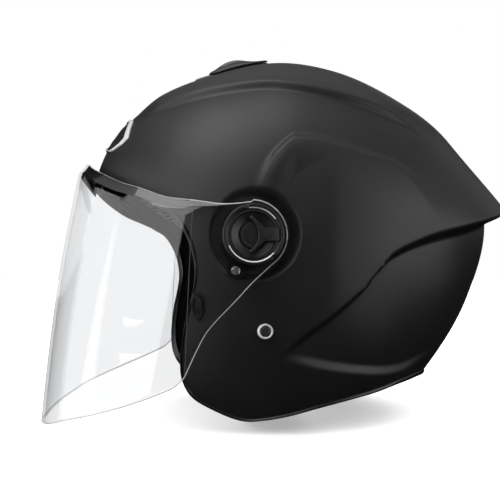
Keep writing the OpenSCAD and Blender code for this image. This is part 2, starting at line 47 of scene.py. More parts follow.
# Sizes are in mm. The shell's own frame has its front at -Y, up at +Z and the wearer's left at +X;
# SHIFT moves it onto the CAD frame.
MM = 0.001
SHELL_HALF = 118
SHELL_POWER = 2.3
WALL = 4.5
RIDGE_RAISE = 4
PANEL_RAISE = 3.0
SPOILER_RAISE = 19.0
SPOILER_HEIGHT = 55
WING_SLOPE = 0.85
POCKET_DEPTH = 2.5
CENTRE = np.array([0, -10, 140.0])
CROWN_RISE = math.radians(55)
CROWN_DIR = np.array([0, math.cos(CROWN_RISE), math.sin(CROWN_RISE)])
MEAN_RADIUS = 150
PIVOT = np.array([-37, 121.0])
RIVET = np.array([-28, 66.0])
SEAT_X = 110.5
SEAT_R = 23
SEAT_SLOPE = 1.4
FOAM_THICK = 25
FOAM_TOP = WALL + 1.6
FOAM_BASE = FOAM_TOP + FOAM_THICK
COMFORT_THICK = 8
COMFORT_TOP = FOAM_BASE + 1
COMFORT_BASE = COMFORT_TOP + COMFORT_THICK
PAD_DEPTH = WALL + 10
CHEEK_THICK = 30
VISOR_HALF = 121
CAP_X = 121.6
CLOTH_PRESSURE = 4.0
CLOTH_FRAMES = 20
FACE_ON_REFLECTANCE = 0.04
EDGE_ON_REFLECTANCE = 0.3

# The shell's middle section: radius from CENTRE every 22.5 degrees, from the rear over the top
PROFILE = [156.5, 139.5, 120.5, 111, 107, 105, 112, 121.5, 125, 130, 142, 162, 176, 170, 157.5, 155.5]

# Edge of the opening, from the brow over the left cheek to the neck, as [X, Y, Z]
LIP = [
    [0, -137, 160.5], [30, -135, 160], [57, -127, 157.5], [80, -112, 150.5], [97, -92, 138.5],
    [104, -80, 131], [106, -71, 116], [105, -68, 100], [102, -70, 86], [97, -73, 73],
    [92, -75, 60], [86, -76, 48], [80, -75, 34], [77, -69, 23], [79, -57, 15], [82, -39, 8],
    [87, -25, 8], [90, -12, 11], [92, 6, 16], [90, 26, 21], [84, 48, 26], [76, 66, 29],
    [60, 84, 31], [35, 95, 31], [0, 101, 31],
]
CHEEK_CORNER = 12

# Lines on the shell's side, as [Y, Z]
WING = [[-24, 44], [-9, 58], [10, 73], [29, 89], [42, 104], [52, 112], [78, 122], [115, 132], [160, 146]]
CREASE = [
    [-60, 135], [-35, 160], [-15, 179], [-8, 181], [5, 180], [24, 175], [44, 170], [72, 165], [150, 150],
]
RIDGE = [[-110, 192], [-92, 200], [-62, 208], [-32, 212], [-12, 211], [20, 205], [50, 197], [90, 180]]
LEDGE = [[-30, 52], [-10, 50], [12, 45], [38, 41], [56, 40], [72, 43], [110, 60]]

# Edges of the liner's layers on the wearer's left, as [X, Y, Z]
FOAM_EDGE = [
    [0, -133, 167.5], [28, -131, 167], [56, -124, 164.5], [79, -108, 158], [95, -86, 146.5],
    [106, -66, 134], [110, -58, 112], [113, -35, 102], [116, -5, 98], [114, 18, 86],
    [108, 38, 72], [96, 58, 64], [76, 78, 62], [48, 94, 62], [0, 108, 62],
]
CROWN_EDGE = [
    [0, -104, 216], [28, -102, 212], [52, -94, 204], [72, -80, 190], [90, -62, 174],
    [104, -40, 156], [112, -14, 144], [114, 12, 132], [110, 36, 112], [100, 62, 92],
    [80, 88, 78], [44, 108, 72], [0, 118, 70],
]
CHEEK_EDGE = [
    [104, -58, 92], [108, -38, 88], [110, -14, 84], [109, 2, 74], [103, 6, 56], [95, 2, 40],
    [90, -12, 30], [86, -32, 26], [84, -54, 32], [88, -66, 44], [94, -68, 60], [101, -64, 78],
]

# The CAD frame's origin lies below the middle of the helmet; the pivot cap's place gives the shift
cap_low, cap_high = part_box("pivot_cap_left")
SHIFT = np.array([0, (cap_low[1] + cap_high[1]) / 2 / MM - PIVOT[0], 0])


# ---------- curves and surfaces ----------

def catmull(a, b, c, d, t):
    return 0.5 * (2 * b + (c - a) * t + (2 * a - 5 * b + 4 * c - d) * t**2 + (3 * b - a - 3 * c + d) * t**3)


def smooth_path(points, steps):
    """Open curve through the points."""
    p = np.array(points, float)
    last = len(p) - 1
    out = []
    for k in range(last):
        around = p[max(k - 1, 0)], p[k], p[k + 1], p[min(k + 2, last)]
        out += [catmull(*around, s / steps) for s in range(steps)]
    return np.array(out + [p[last]])


def smooth_loop(points, steps):
    """Closed curve through the points."""
    p = np.array(points, float)
    n = len(p)
    return np.array([
        catmull(p[k - 1], p[k], p[(k + 1) % n], p[(k + 2) % n], s / steps)
        for k in range(n) for s in range(steps)
    ])


def both_sides(half):
    """Closed outline from its left half, whose ends lie in the middle plane."""
    return np.concatenate([half, half[-2:0:-1] * [-1, 1, 1]])


def squared_circle(count, cos_power, sin_power):
    """The cos and sin of a full turn, squared off by powers below 1."""
    turn = 2 * math.pi * np.arange(count) / count
    cos, sin = np.cos(turn), np.sin(turn)
    return np.sign(cos) * np.abs(cos) ** cos_power, np.sign(sin) * np.abs(sin) ** sin_power


def unit(v):
    v = np.asarray(v, float)
    return v / np.linalg.norm(v, axis=-1, keepdims=True)


def direction(p):
    return unit(np.asarray(p, float) - CENTRE)


def ease(low, high, v):
    """Smooth step from 0 at low to 1 at high."""
    t = np.clip((v - low) / (high - low), 0, 1)
    return t * t * (3 - 2 * t)


def line_z(line, y):
    path = smooth_path(line, 10)
    return np.interp(y, path[:, 0], path[:, 1])


def profile_radius(angle):
    n = len(PROFILE)
    values = np.array(PROFILE, float)
    s = (angle % 360) / (360 / n)
    k = np.floor(s).astype(int)
    near = [values[(k + i) % n] for i in (-1, 0, 1, 2)]
    return catmull(*near, s - k)


def surface_radius(d, depth):
    """Distance from CENTRE to the smooth shell, less a depth, in the directions d."""
    flat = np.hypot(d[..., 1], d[..., 2])
    section = profile_radius(np.degrees(np.arctan2(d[..., 2], d[..., 1]))) - depth
    half = SHELL_HALF - depth
    wide = np.abs(d[..., 0]) / half
    return ((flat / section) ** SHELL_POWER + wide**SHELL_POWER) ** (-1 / SHELL_POWER)


def layer_point(d, depth):
    """Points at a depth below the shell's outside, with the flat seats of the pivots."""
    d = np.asarray(d, float)
    depth = np.asarray(depth, float)
    p = CENTRE + d * surface_radius(d, depth)[..., None]
    away = np.hypot(p[..., 1] - PIVOT[0], p[..., 2] - PIVOT[1])
    limit = SEAT_X - depth + SEAT_SLOPE * np.maximum(0, away - SEAT_R)
    p[..., 0] = np.sign(p[..., 0]) * np.minimum(np.abs(p[..., 0]), limit)
    return p


def relief(p):
    """Height of the side panels, spoiler, pocket and brow ridge over the smooth shell, in mm."""
    x, y, z = np.abs(p[..., 0]), p[..., 1], p[..., 2]
    over_wing = WING_SLOPE * (z - line_z(WING, y))
    under_crease = line_z(CREASE, y) - z
    crease_soft = 5 + 36 * np.maximum(ease(-22, -50, y), ease(45, 90, y))
    over_ridge = z - line_z(RIDGE, y)
    over_ledge = z - line_z(LEDGE, y)
    front_start = np.maximum(ease(-18, 14, y), ease(-38, -16, y) * ease(30, 8, under_crease))
    side = front_start * ease(140, 80, y) * ease(40, 70, x)
    wing_soft = 3 + ease(20, 90, y)
    wing_edge = ease(-wing_soft, wing_soft, over_wing)
    u = np.clip(under_crease / crease_soft, 0, 1)
    panel = side * wing_edge * u * u * (3 - 2 * u)
    spoiler = ease(70, 150, y) * wing_edge * (1 - np.clip(over_wing / SPOILER_HEIGHT, 0, 1)) ** 2.2
    pocket = ease(-24, 4, y) * ease(100, 60, y) * ease(3, -3, over_wing) * ease(-4, 1, over_ledge)
    ridge = ease(-104, -84, y) * ease(80, 44, y) * ease(-1.8, 1.8, over_ridge) * ease(30, -4, over_ridge)
    return PANEL_RAISE * panel + SPOILER_RAISE * spoiler - POCKET_DEPTH * pocket + RIDGE_RAISE * ridge


def outside_point(d, height=0):
    p = layer_point(d, 0)
    return p + np.asarray(d) * (relief(p) + height)[..., None]


def pulled(d, distance):
    """Directions moved along the shell towards the crown, by a distance in mm."""
    return unit(d + CROWN_DIR * np.asarray(distance)[..., None] / MEAN_RADIUS)


def turned(middle, d, share):
    """Slerp from the middle direction to d, for every share."""
    angle = np.arccos(np.clip(d @ middle, -1, 1))[None, :, None]
    share = np.asarray(share)[:, None, None]
    return (middle * np.sin((1 - share) * angle) + d[None] * np.sin(share * angle)) / np.sin(angle)


# ---------- meshes ----------

def set_all(thing, **settings):
    for key, value in settings.items():
        setattr(thing, key, value)


def new_object(name, data):
    obj = bpy.data.objects.new(name, data)
    scene.collection.objects.link(obj)
    return obj


def add_mesh(name, points, faces, materials, smooth_angle=40, uv=None):
    """Makes an object from points in mm. uv gives one pair for each point, in mm."""
    mesh = bpy.data.meshes.new(name)
    co = (np.asarray(points, float) + SHIFT) * MM
    mesh.from_pydata(co.tolist(), [], [tuple(int(i) for i in f) for f in faces])
    if uv is not None:
        layer = mesh.uv_layers.new(name="mm")
        loops = np.zeros(len(mesh.loops), int)
        mesh.loops.foreach_get("vertex_index", loops)
        layer.data.foreach_set("uv", (np.asarray(uv, float)[loops] * 0.01).astype(np.float32).ravel())
    mesh.validate()
    obj = new_object(name, mesh)
    for m in materials if isinstance(materials, (list, tuple)) else [materials]:
        mesh.materials.append(m)
    finish_mesh(obj, smooth_angle)
    return obj


def finish_mesh(obj, smooth_angle=40):
    """Joins equal points, turns the faces outwards and sets smooth shading up to an angle."""
    bm = bmesh.new()
    bm.from_mesh(obj.data)
    bmesh.ops.remove_doubles(bm, verts=bm.verts, dist=1e-6)
    bmesh.ops.dissolve_degenerate(bm, edges=bm.edges, dist=1e-7)
    bmesh.ops.recalc_face_normals(bm, faces=bm.faces)
    bm.to_mesh(obj.data)
    bm.free()
    obj.data.shade_smooth()
    obj.data.set_sharp_from_angle(angle=math.radians(smooth_angle))


def use_modifier(obj, kind, **settings):
    """Adds a modifier and applies it at once."""
    set_all(obj.modifiers.new(kind.lower(), kind), **settings)
    graph = bpy.context.evaluated_depsgraph_get()
    mesh = bpy.data.meshes.new_from_object(obj.evaluated_get(graph))
    obj.modifiers.clear()
    old = obj.data
    obj.data = mesh
    bpy.data.meshes.remove(old)


def round_edges(obj, width, sharper_than, segments=3, **settings):
    """Rounds the edges that turn by more than an angle in degrees; the width is in mm."""
    limit = math.radians(sharper_than)
    use_modifier(
        obj, "BEVEL", width=width * MM, segments=segments, limit_method="ANGLE", angle_limit=limit, **settings
    )


def cut(obj, tool):
    """Takes the tool's space out of a piece, and removes the tool."""
    use_modifier(obj, "BOOLEAN", operation="DIFFERENCE", object=tool, solver="EXACT")
    bpy.data.objects.remove(tool)


def paint_all(data, *materials):
    data.materials.clear()
    for m in materials:
        data.materials.append(m)


def grid_faces(rows, cols, start=0, wrap=False):
    last = cols if wrap else cols - 1
    return [
        (start + i * cols + j, start + i * cols + (j + 1) % cols,
         start + (i + 1) * cols + (j + 1) % cols, start + (i + 1) * cols + j)
        for i in range(rows - 1) for j in range(last)
    ]


def slab(name, front, back, material, **extra):
    """Closed sheet between two grids of points."""
    rows, cols = front.shape[:2]
    n = rows * cols
    faces = grid_faces(rows, cols) + grid_faces(rows, cols, n)
    for j in range(cols - 1):
        for a in (j, (rows - 1) * cols + j):
            faces.append((a, a + 1, n + a + 1, n + a))
    for i in range(rows - 1):
        for a in (i * cols, i * cols + cols - 1):
            faces.append((a, a + cols, n + a + cols, n + a))
    points = np.concatenate([front.reshape(-1, 3), back.reshape(-1, 3)])
    return add_mesh(name, points, faces, material, **extra)


def dome(name, middles, front, back, material, **extra):
    """Closed domed sheet: two middle points and rings of points around them."""
    rings, n = front.shape[:2]
    half = 1 + rings * n
    points = np.concatenate([[middles[0]], front.reshape(-1, 3), [middles[1]], back.reshape(-1, 3)])
    faces = grid_faces(rings, n, 1, True) + grid_faces(rings, n, half + 1, True)
    rim = 1 + (rings - 1) * n
    for k in range(n):
        a, b = k, (k + 1) % n
        faces += [(0, 1 + a, 1 + b), (half, half + 1 + b, half + 1 + a)]
        faces.append((rim + a, rim + b, half + rim + b, half + rim + a))
    return add_mesh(name, points, faces, material, **extra)


def sweep(name, sections, material, closed=True, **extra):
    """Tube through closed sections, an array of (places, points of a section, 3)."""
    places, n = sections.shape[:2]
    faces = grid_faces(places, n, 0, True)
    if closed:
        last = (places - 1) * n
        faces += [(last + j, last + (j + 1) % n, (j + 1) % n, j) for j in range(n)]
    else:
        faces += [tuple(range(n))[::-1], tuple((places - 1) * n + j for j in range(n))]
    return add_mesh(name, sections.reshape(-1, 3), faces, material, **extra)


def on_left(points, x, place):
    """Points drawn with local X to the rear, Y up and Z out, put on the wearer's left at [Y, Z]."""
    p = np.asarray(points, float)
    return np.stack([x + p[..., 2], place[0] + p[..., 0], place[1] + p[..., 1]], -1)


def lathe(name, profile, x, place, material, sides=96, bump=None, **extra):
    """Ring or disc from [radius, height] points; bump(angle, radius, height) changes a height."""
    turn = 2 * math.pi * np.arange(sides) / sides
    profile = np.array(profile, float)
    r = np.repeat(profile[:, :1], sides, 1)
    h = np.repeat(profile[:, 1:], sides, 1)
    a = np.repeat(turn[None], len(profile), 0)
    if bump:
        r, h = bump(np.degrees(a), r, h)
    points = on_left(np.stack([r * np.cos(a), r * np.sin(a), h], -1), x, place)
    faces = grid_faces(len(profile), sides, 0, True)
    count = len(profile) * sides
    flat = points.reshape(-1, 3)
    if (profile[0] != profile[-1]).any():
        ends = on_left([[0, 0, profile[0, 1]], [0, 0, profile[-1, 1]]], x, place)
        flat = np.concatenate([flat, ends])
        last = (len(profile) - 1) * sides
        for k in range(sides):
            faces += [(count, (k + 1) % sides, k), (count + 1, last + k, last + (k + 1) % sides)]
    return add_mesh(name, flat, faces, material, **extra)


def prism(name, outline, low, high, x, place, material, bevel=0.3, **extra):
    """Plate from an outline of [rear, up] points, with rounded edges."""
    n = len(outline)
    outline = np.asarray(outline, float)
    points = np.concatenate([
        np.column_stack([outline, np.full(n, low)]), np.column_stack([outline, np.full(n, high)]),
    ])
    faces = [tuple(range(n))[::-1], tuple(range(n, 2 * n))]
    faces += [(k, (k + 1) % n, n + (k + 1) % n, n + k) for k in range(n)]
    obj = add_mesh(name, on_left(points, x, place), faces, material, **extra)
    round_edges(obj, bevel, 50)
    finish_mesh(obj)
    return obj


def mirror_copy(obj, name):
    """The same piece on the wearer's right."""
    copy = new_object(name, obj.data.copy())
    for v in copy.data.vertices:
        v.co.x = -v.co.x
    copy.data.flip_normals()
    return copy


def join(name, *objects):
    """One piece from several, with all their materials."""
    target = objects[0]
    bm = bmesh.new()
    slots = []
    for o in objects:
        start = len(bm.faces)
        places = []
        for m in o.data.materials:
            if m not in slots:
                slots.append(m)
            places.append(slots.index(m))
        bm.from_mesh(o.data)
        bm.faces.ensure_lookup_table()
        for f in bm.faces[start:]:
            f.material_index = places[min(f.material_index, len(places) - 1)]
    bm.to_mesh(target.data)
    bm.free()
    paint_all(target.data, *slots)
    for o in objects[1:]:
        bpy.data.objects.remove(o)
    target.name = name
    return target


def pair(name, obj):
    """One piece from the left one and its mirror image."""
    return join(name, obj, mirror_copy(obj, name + "_right"))


def rounded_copy(node, name, width, material):
    """A CAD piece with its sharp edges rounded."""
    obj = new_object(name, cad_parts[node].data.copy())
    paint_all(obj.data, material)
    bm = bmesh.new()
    bm.from_mesh(obj.data)
    bmesh.ops.remove_doubles(bm, verts=bm.verts, dist=1e-6)
    bmesh.ops.dissolve_limit(bm, angle_limit=math.radians(1), verts=bm.verts, edges=bm.edges)
    bm.to_mesh(obj.data)
    bm.free()
    round_edges(obj, width, 40)
    finish_mesh(obj, 30)
    return obj


def inflate(obj, voxel, cap):
    """Swells a pad a little by cloth pressure; cap is the most that a point may move, in mm."""
    use_modifier(obj, "REMESH", mode="VOXEL", voxel_size=voxel * MM)
    start = np.array([v.co for v in obj.data.vertices])
    cloth = obj.modifiers.new("cloth", "CLOTH")
    set_all(cloth.settings, quality=5, mass=0.2, tension_stiffness=12, compression_stiffness=12)
    set_all(cloth.settings, use_pressure=True, uniform_pressure_force=CLOTH_PRESSURE)
    cloth.settings.effector_weights.gravity = 0
    set_all(cloth.point_cache, frame_start=1, frame_end=CLOTH_FRAMES)
    for f in range(1, CLOTH_FRAMES + 1):
        scene.frame_set(f)
    graph = bpy.context.evaluated_depsgraph_get()
    moved = np.array([v.co for v in obj.evaluated_get(graph).data.vertices])
    obj.modifiers.clear()
    scene.frame_set(1)
    step = moved - start
    length = np.linalg.norm(step, axis=1, keepdims=True)
    step *= np.minimum(1, cap * MM / np.maximum(length, 1e-9))
    obj.data.vertices.foreach_set("co", (start + step).astype(np.float32).ravel())
    obj.data.update()
    use_modifier(obj, "SUBSURF", levels=1)
    finish_mesh(obj, 80)
    return obj


# ---------- materials ----------

def set_sockets(node, **values):
    for key, value in values.items():
        node.inputs[key.replace("_", " ")].default_value = value


def new_material(name, base, rough, metal=0.0, **sockets):
    m = bpy.data.materials.new(name)
    m.use_nodes = True
    shader = m.node_tree.nodes["Principled BSDF"]
    set_sockets(shader, Base_Color=(*base, 1), Roughness=rough, Metallic=metal, **sockets)
    return m


class Nodes:
    """Short names for the nodes that the materials are made of."""

    def __init__(self, material):
        self.tree = material.node_tree
        self.shader = self.tree.nodes["Principled BSDF"]

    def add(self, kind, **settings):
        n = self.tree.nodes.new(kind)
        set_all(n, **settings)
        return n

    def link(self, a, b):
        self.tree.links.new(a, b)

    def drive(self, socket, value):
        self.link(value, self.shader.inputs[socket])

    def mix_shaders(self, share, first, second):
        """The surface shows the first shader where share is 0, and the second where it is 1."""
        mix = self.add("ShaderNodeMixShader")
        for k, output in enumerate((share, first.outputs[0], second.outputs[0])):
            self.link(output, mix.inputs[k])
        self.link(mix.outputs[0], self.tree.nodes["Material Output"].inputs["Surface"])

    def put(self, value, socket):
        if hasattr(value, "is_output"):
            self.link(value, socket)
        else:
            socket.default_value = value

    def place(self, source="Object", scale=(1, 1, 1), turn=(0, 0, 0)):
        coords = self.add("ShaderNodeTexCoord")
        mapping = self.add("ShaderNodeMapping")
        set_sockets(mapping, Scale=scale, Rotation=turn)
        self.link(coords.outputs[source], mapping.inputs["Vector"])
        return mapping.outputs["Vector"]

    def texture(self, kind, vector, scale, **settings):
        n = self.add("ShaderNodeTex" + kind, **settings)
        self.link(vector, n.inputs["Vector"])
        set_sockets(n, Scale=scale)
        return n

    def noise(self, vector, scale, detail):
        n = self.texture("Noise", vector, scale)
        set_sockets(n, Detail=detail)
        return n.outputs["Fac"]

    def cells(self, vector, scale):
        """Distance from the middle of the nearest square of an even grid."""
        n = self.texture("Voronoi", vector, scale, feature="F1", voronoi_dimensions="2D")
        set_sockets(n, Randomness=0.0)
        return n.outputs["Distance"]

    def waves(self, vector, scale, along="X"):
        return self.texture("Wave", vector, scale, bands_direction=along).outputs["Fac"]

    def math(self, kind, a, b=0.0):
        n = self.add("ShaderNodeMath", operation=kind)
        self.put(a, n.inputs[0])
        self.put(b, n.inputs[1])
        return n.outputs[0]

    def span(self, value, low, high, to_low, to_high):
        n = self.add("ShaderNodeMapRange")
        self.link(value, n.inputs["Value"])
        set_sockets(n, From_Min=low, From_Max=high, To_Min=to_low, To_Max=to_high)
        return n.outputs["Result"]

    def tint(self, factor, first, second):
        n = self.add("ShaderNodeMix", data_type="RGBA")
        self.link(factor, n.inputs[0])
        n.inputs[6].default_value = (*first, 1)
        n.inputs[7].default_value = (*second, 1)
        return n.outputs[2]

    def bump(self, height, strength, distance):
        """Bumps of a height in metres."""
        n = self.add("ShaderNodeBump")
        self.link(height, n.inputs["Height"])
        set_sockets(n, Strength=strength, Distance=distance)
        self.drive("Normal", n.outputs["Normal"])


def moulded(name, base, rough, spread=0.06, grain=900.0, depth=0.15, **sockets):
    """Moulded or painted surface: fine grain, slow changes of gloss and a little dust."""
    m = new_material(name, base, rough, **sockets)
    n = Nodes(m)
    where = n.place()
    slow = n.noise(where, 14, 3)
    fine = n.noise(where, grain, 2)
    light = tuple(min(1, c * 1.35 + 0.004) for c in base)
    n.drive("Base Color", n.tint(n.span(slow, 0.35, 0.7, 0, 1), base, light))
    mixed = n.math("ADD", n.math("MULTIPLY", slow, 0.6), n.math("MULTIPLY", fine, 0.4))
    n.drive("Roughness", n.span(mixed, 0.3, 0.7, rough - spread, rough + spread))
    n.bump(fine, depth, 0.0002)
    return m


def metal(name, base, rough, brushed=True):
    """Metal with fine scratches, all one way if it is brushed, and slow changes of shade."""
    m = new_material(name, base, rough, metal=1.0)
    n = Nodes(m)
    fine = n.noise(n.place(scale=(1, 1, 12) if brushed else (1, 1, 1)), 700, 3)
    slow = n.noise(n.place(), 60, 3)
    n.drive("Roughness", n.span(fine, 0.3, 0.7, rough * 0.7, rough * 1.4))
    darker = tuple(c * 0.8 for c in base)
    n.drive("Base Color", n.tint(n.span(slow, 0.4, 0.7, 0, 1), base, darker))
    n.bump(fine, 0.08, 0.0002)
    return m


def knitted(name, base, light, pitch=1.2, holes=False, source="Object", turn=(0, 0, 0)):
    """Knitted fabric: crossed ribs, or a mesh with rows of holes, with fuzz and slow shade changes.

    pitch is the distance between holes, or half of that between ribs, in mm. UVs are in 100 mm.
    """
    m = new_material(name, base, 0.9, Sheen_Weight=0.35, Sheen_Roughness=0.5)
    n = Nodes(m)
    per_unit = 100 / pitch if source == "UV" else 1000 / pitch
    where = n.place(source, turn=turn)
    fuzz = n.noise(where, per_unit * 2.2, 3)
    slow = n.noise(n.place(), 35, 3)
    if holes:
        slanted = n.place(source, turn=(0, 0, math.radians(45)))
        cell = n.cells(slanted, per_unit)
        thread = n.span(cell, 0.26, 0.36, 0, 1)
    else:
        ribs = n.waves(where, per_unit * 0.16)
        across = n.waves(where, per_unit * 0.16, "Y")
        thread = n.math("MULTIPLY", ribs, across)
    height = n.math("ADD", thread, n.math("MULTIPLY", fuzz, 0.35))
    shade = n.math("MULTIPLY", n.span(thread, 0, 1, 0.15, 1), n.span(slow, 0.3, 0.7, 0.7, 1.0))
    n.drive("Base Color", n.tint(shade, tuple(c * 0.25 for c in base), light))
    n.bump(height, 0.7, 0.0006)
    n.drive("Roughness", n.span(fuzz, 0.3, 0.7, 0.8, 1.0))
    return m


def woven(name, base, light):
    """Strap webbing: a herringbone of thick threads, from UVs in units of 100 mm."""
    m = new_material(name, base, 0.75, Sheen_Weight=0.2)
    n = Nodes(m)
    along = n.place("UV")
    left = n.waves(n.place("UV", turn=(0, 0, math.radians(38))), 22)
    right = n.waves(n.place("UV", turn=(0, 0, math.radians(-38))), 22)
    rows = n.waves(along, 9)
    pick = n.span(rows, 0.48, 0.52, 0, 1)
    mixer = n.add("ShaderNodeMix", data_type="FLOAT")
    n.link(pick, mixer.inputs[0])
    n.link(left, mixer.inputs[2])
    n.link(right, mixer.inputs[3])
    fuzz = n.noise(along, 400, 2)
    shade = n.math("MULTIPLY", mixer.outputs[0], n.span(fuzz, 0.2, 0.8, 0.7, 1))
    n.drive("Base Color", n.tint(shade, base, light))
    n.bump(n.math("ADD", mixer.outputs[0], n.math("MULTIPLY", fuzz, 0.3)), 0.8, 0.0005)
    return m


shell_paint = moulded("matte_black_paint", (0.0085, 0.0088, 0.0095), 0.5, 0.05, 1500, 0.08)
shell_inside = moulded("shell_inside", (0.02, 0.02, 0.021), 0.7)
edge_rubber = moulded("edge_rubber", (0.006, 0.006, 0.0065), 0.33, 0.08, 500, 0.2)
cap_plastic = moulded("cap_plastic", (0.0045, 0.0045, 0.005), 0.4, 0.06, 800, 0.12)
lever_plastic = moulded("lever_plastic", (0.011, 0.011, 0.012), 0.38, 0.07, 1200, 0.3)
vent_plastic = moulded("vent_plastic", (0.008, 0.008, 0.0085), 0.4, 0.08, 900, 0.2)
vent_silver = moulded("vent_silver", (0.6, 0.6, 0.61), 0.35, 0.06, 900, 0.2)
window_grey = moulded("window_grey", (0.09, 0.09, 0.095), 0.35)
# Bright silver-white: the rivets' rings, and the painted highlights on the pivot caps' rims
silver_trim_and_painted_glint = moulded("silver_trim_and_painted_glint", (0.78, 0.78, 0.79), 0.25)
badge_rim = moulded("badge_rim", (0.6, 0.6, 0.61), 0.35)
badge_field = moulded("badge_field", (0.006, 0.006, 0.0065), 0.5)
white_nylon = moulded("white_nylon", (0.62, 0.62, 0.6), 0.45)
buckle_plastic = moulded("buckle_plastic", (0.012, 0.012, 0.013), 0.42, 0.08, 900, 0.5)
red_plastic = moulded("red_plastic", (0.3, 0.012, 0.01), 0.35)
rubber_dark = moulded("rubber_dark", (0.012, 0.012, 0.0125), 0.55, 0.08, 700, 0.4)
steel = metal("steel", (0.55, 0.55, 0.56), 0.32)
bright_steel = metal("bright_steel", (0.9, 0.9, 0.91), 0.34, False)
mesh_fabric = knitted("mesh_fabric", (0.012, 0.012, 0.013), (0.3, 0.302, 0.31), 4.4, True, "UV")
soft_fabric = knitted("soft_fabric", (0.02, 0.02, 0.022), (0.055, 0.055, 0.058), 1.3)
side_fabric = knitted(
    "side_fabric", (0.018, 0.018, 0.02), (0.05, 0.05, 0.053), 1.3, turn=(0, math.radians(90), 0)
)
webbing = woven("webbing", (0.006, 0.006, 0.007), (0.045, 0.045, 0.05))


def clear_plastic(name, tint, rough):
    """Clear sheet: light passes straight through, apart from what its polished faces reflect."""
    m = new_material(name, (1, 1, 1), rough, metal=1.0)
    n = Nodes(m)
    facing = n.add("ShaderNodeLayerWeight")
    set_sockets(facing, Blend=0.5)
    edge = n.math("POWER", facing.outputs["Facing"], 5.0)
    share = n.span(edge, 0, 1, FACE_ON_REFLECTANCE, EDGE_ON_REFLECTANCE)
    through = n.add("ShaderNodeBsdfTransparent")
    set_sockets(through, Color=(*tint, 1))
    n.mix_shaders(share, through, n.shader)
    haze = n.noise(n.place(), 55, 5)
    n.drive("Roughness", n.span(haze, 0.4, 0.75, rough, rough * 2.5))
    return m


visor_clear = clear_plastic("visor_clear", (0.966, 0.969, 0.973), 0.015)
visor_edge = moulded("visor_edge", (0.55, 0.56, 0.58), 0.3)
# Grey strip along the visor's crease: a painted highlight
painted_crease_highlight = moulded("painted_crease_highlight", (0.07, 0.07, 0.075), 0.3)
lip_print = moulded("lip_print", (0.006, 0.006, 0.0065), 0.35)


def piece(obj, body, slot, *nodes):
    """Says what a piece rides on and what it stands for, whose CAD nodes it hides; slot is not used."""
    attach(obj, body)
    if nodes:
        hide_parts(*nodes)
    return obj


# ---------- shell ----------

LIP_STEPS = 14
SHELL_EDGE_INSET = 2.2
lip_dirs = direction(both_sides(smooth_path(LIP, LIP_STEPS)))
shell_shares = np.linspace(0, 1, 240)[1:]
shell_dirs = turned(CROWN_DIR, pulled(lip_dirs, np.full(len(lip_dirs), SHELL_EDGE_INSET)), shell_shares)
shell = dome(
    "shell",
    [outside_point(CROWN_DIR), layer_point(CROWN_DIR, WALL)],
    outside_point(shell_dirs),
    layer_point(shell_dirs, WALL),
    [shell_paint, shell_inside],
    smooth_angle=50,
)
piece(shell, "helmet", "shell_black", "outer_shell")


def edge_trim(name, first, last):
    """Rubber bead along part of the lip."""
    n = len(lip_dirs)
    dirs = lip_dirs[[k % n for k in range(first, last + 1)]]
    cos, sin = squared_circle(22, 0.7, 0.7)
    along = 1.7 + 2.3 * cos
    depth = WALL / 2 + (WALL / 2 + 1.1) * sin
    moved = [layer_point(pulled(dirs, np.full(len(dirs), a)), t) for a, t in zip(along, depth)]
    return sweep(name, np.stack(moved, 1), edge_rubber, False, smooth_angle=60)


corner = CHEEK_CORNER * LIP_STEPS
piece(edge_trim("face_trim", -corner, corner), "helmet", "edge_rubber", "face_edge_trim")
piece(edge_trim("neck_trim", corner, len(lip_dirs) - corner), "helmet", "edge_rubber", "neck_edge_trim")


# ---------- liner ----------

UV_RADIUS = 120.0
CHANNEL_PITCH = 34

def pad_layer(name, edge_dirs, middle, rings, top, base, material, puff=None):
    """Padding with a rounded rim, from depth top to depth base; puff(directions) adds to it."""
    shares = np.linspace(0, 1, rings + 1)[1:]
    dirs = turned(middle, edge_dirs, shares)
    rim = np.clip(1 - shares**7, 0, 1)[:, None] ** 0.5
    inner = top + (base - top) * (0.45 + 0.55 * rim)
    inner = inner * np.ones(dirs.shape[:2])
    if puff:
        inner = inner + puff(dirs) * rim
    outer = np.full(dirs.shape[:2], float(top)) + (base - top) * 0.25 * (1 - rim)
    flat = np.concatenate([[middle], dirs.reshape(-1, 3)])
    around = np.arctan2(flat[:, 0], -flat[:, 1] + 0.0)
    rise = np.arcsin(np.clip(flat[:, 2], -1, 1))
    uv = np.column_stack([around * UV_RADIUS * 0.75, rise * UV_RADIUS])
    mid_in = base + (puff(middle[None])[0] if puff else 0)
    return dome(
        name,
        [layer_point(middle, top), layer_point(middle, mid_in)],
        layer_point(dirs, outer),
        layer_point(dirs, inner),
        material,
        smooth_angle=70,
        uv=np.concatenate([uv, uv]),
    )


foam_dirs = direction(both_sides(smooth_path(FOAM_EDGE, 6)))
foam = pad_layer("foam", foam_dirs, CROWN_DIR, 30, FOAM_TOP, FOAM_BASE, mesh_fabric)
piece(foam, "helmet", "foam_dark", "foam_liner")


def crown_puff(dirs):
    """Sewn channels from the front to the rear, with a cross seam over the top."""
    x = dirs[..., 0] * 100
    lengthwise = np.abs(np.sin(math.pi * x / CHANNEL_PITCH)) ** 0.5
    cross = 1 - np.exp(-(((np.degrees(np.arctan2(dirs[..., 2], -dirs[..., 1])) - 100) / 4) ** 2))
    return -1.6 + 2.4 * lengthwise * cross


crown_dirs = direction(both_sides(smooth_path(CROWN_EDGE, 8)))
crown = pad_layer(
    "crown_lining", crown_dirs, CROWN_DIR, 60, COMFORT_TOP, COMFORT_BASE, mesh_fabric, crown_puff
)
piece(crown, "helmet", "comfort_fabric", "crown_pad")

